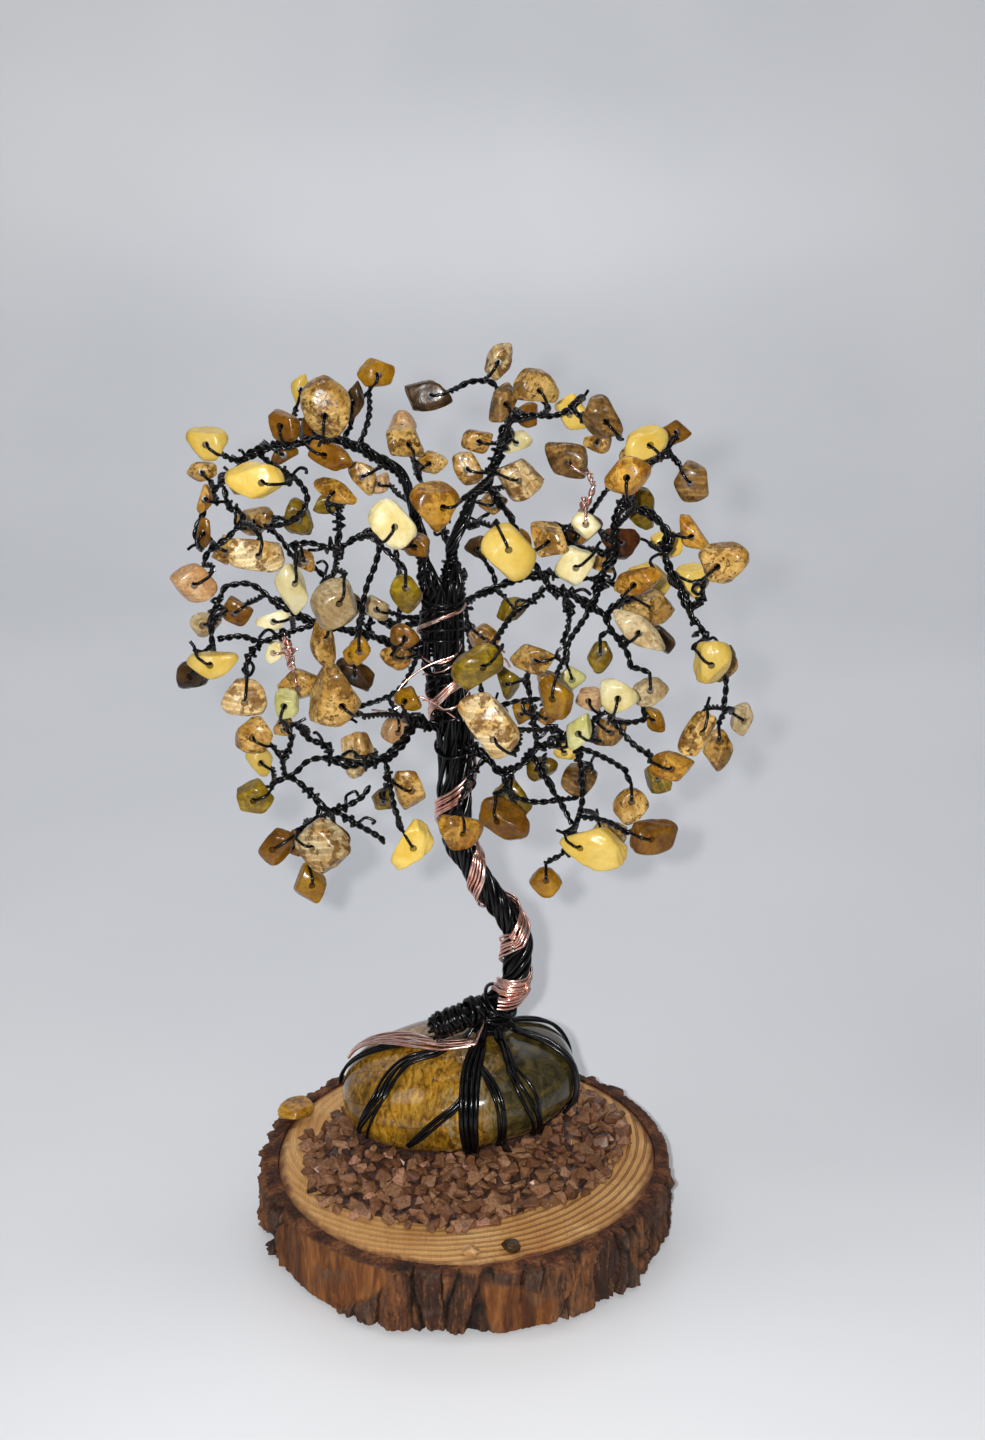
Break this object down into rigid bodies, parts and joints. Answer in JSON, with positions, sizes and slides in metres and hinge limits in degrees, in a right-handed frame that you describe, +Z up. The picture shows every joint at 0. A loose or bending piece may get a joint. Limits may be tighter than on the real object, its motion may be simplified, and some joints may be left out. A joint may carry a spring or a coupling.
{
  "type": "wire gemstone tree",
  "caption": "Small ornamental tree of twisted black and copper wire, hung with drilled tumbled stone chips, rooted over a polished stone on a bark-edged pine slice.",
  "frame": {"origin": "centre of the wood slice's underside, where it stands on the table", "axes": "+Z up the tree; the tree's front, the side most chips face, is -Y; +X is to the viewer's right"},
  "size_m": [0.1161, 0.091, 0.189],
  "materials": {
    "amber": "polished",
    "banded": "polished",
    "bark": "rough flaky bark",
    "black_stone": "polished",
    "black_wire": "glossy black enamelled copper craft wire",
    "blush": "polished",
    "boulder": "polished",
    "copper_wire": "bright rose-gold enamelled copper craft wire",
    "cream": "polished",
    "golden": "polished",
    "gravel": "crushed stone, glazed by clear glue",
    "ivory": "polished",
    "jasper": "polished",
    "olive": "polished",
    "pine": "sawn, unvarnished, with clear growth rings",
    "russet": "polished",
    "sand": "polished"
  },
  "bodies": {
    "tree": {"bark_ring": "bark", "base_stone": "boulder", "black_crumb": "black_stone", "chip_arch_front": "cream", "chip_arch_shoulder": "cream", "chip_arch_top": "jasper", "chip_crown_cream": "cream", "chip_crown_front": "golden", "chip_crown_top": "jasper", "chip_far_cream": "cream", "chip_high_cream": "cream", "chip_high_golden": "golden", "chip_left_banded": "banded", "chip_left_blush": "blush", "chip_low_banded": "banded", "chip_low_cream": "cream", "chip_low_front": "jasper", "chip_low_gold": "banded", "chip_low_ivory": "cream", "chip_low_russet": "russet", "chip_mid_banded": "banded", "chip_mid_cream": "cream", "chip_mid_olive": "olive", "chip_right_golden": "jasper", "chip_right_ivory": "ivory", "chip_upper_ivory": "ivory", "chip_upper_sand": "sand", "copper_root": "copper_wire", "copper_wrap": "copper_wire", "crown_leader": "black_wire", "gravel_bed": "gravel", "left_arch": "black_wire", "left_low": "black_wire", "left_mid": "black_wire", "left_upper": "black_wire", "pale_crumb": "blush", "rear_left": "black_wire", "rear_right": "black_wire", "resting_stone": "golden", "right_far": "black_wire", "right_high": "black_wire", "right_low": "black_wire", "right_mid": "black_wire", "root_front": "black_wire", "root_front_right": "black_wire", "root_left_high": "black_wire", "root_left_low": "black_wire", "root_right_high": "black_wire", "root_right_low": "black_wire", "trunk": "black_wire", "trunk_knot": "black_wire", "wood_slice": "pine"},
    "drop_pendant": {"chip_drop_swing": "amber"},
    "far_pendant": {"chip_far_swing": "jasper"},
    "high_pendant": {"chip_high_swing": "ivory"},
    "mid_pendant": {"chip_mid_swing": "olive"},
    "mid_pendant_outer": {"chip_mid_swing_right": "sand"},
    "right_pendant": {"chip_right_swing": "jasper"},
    "upper_pendant": {"chip_upper_swing": "olive"}
  },
  "joints": [
    {"name": "drop_pendant_swing", "type": "hinge", "parent": "tree", "child": "drop_pendant", "pos_m": [0.017, 0, 0.0803], "axis": [0, 1, 0], "range_deg": [-30, 30]},
    {"name": "far_pendant_swing", "type": "hinge", "parent": "tree", "child": "far_pendant", "pos_m": [0.051, -0.007, 0.11329], "axis": [0, 1, 0], "range_deg": [-30, 30]},
    {"name": "high_pendant_swing", "type": "hinge", "parent": "tree", "child": "high_pendant", "pos_m": [0.024, -0.003, 0.15643], "axis": [0, 1, 0], "range_deg": [-30, 30]},
    {"name": "mid_pendant_swing", "type": "hinge", "parent": "tree", "child": "mid_pendant", "pos_m": [0.027, -0.0075, 0.13174], "axis": [0, 1, 0], "range_deg": [-30, 30]},
    {"name": "mid_pendant_outer_swing", "type": "hinge", "parent": "tree", "child": "mid_pendant_outer", "pos_m": [0.037, -0.007, 0.12393], "axis": [0, 1, 0], "range_deg": [-30, 30]},
    {"name": "right_pendant_swing", "type": "hinge", "parent": "tree", "child": "right_pendant", "pos_m": [0.034, -0.005, 0.09968], "axis": [0, 1, 0], "range_deg": [-30, 30]},
    {"name": "upper_pendant_swing", "type": "hinge", "parent": "tree", "child": "upper_pendant", "pos_m": [-0.011, -0.006, 0.14464], "axis": [0, 1, 0], "range_deg": [-30, 30]}
  ]
}
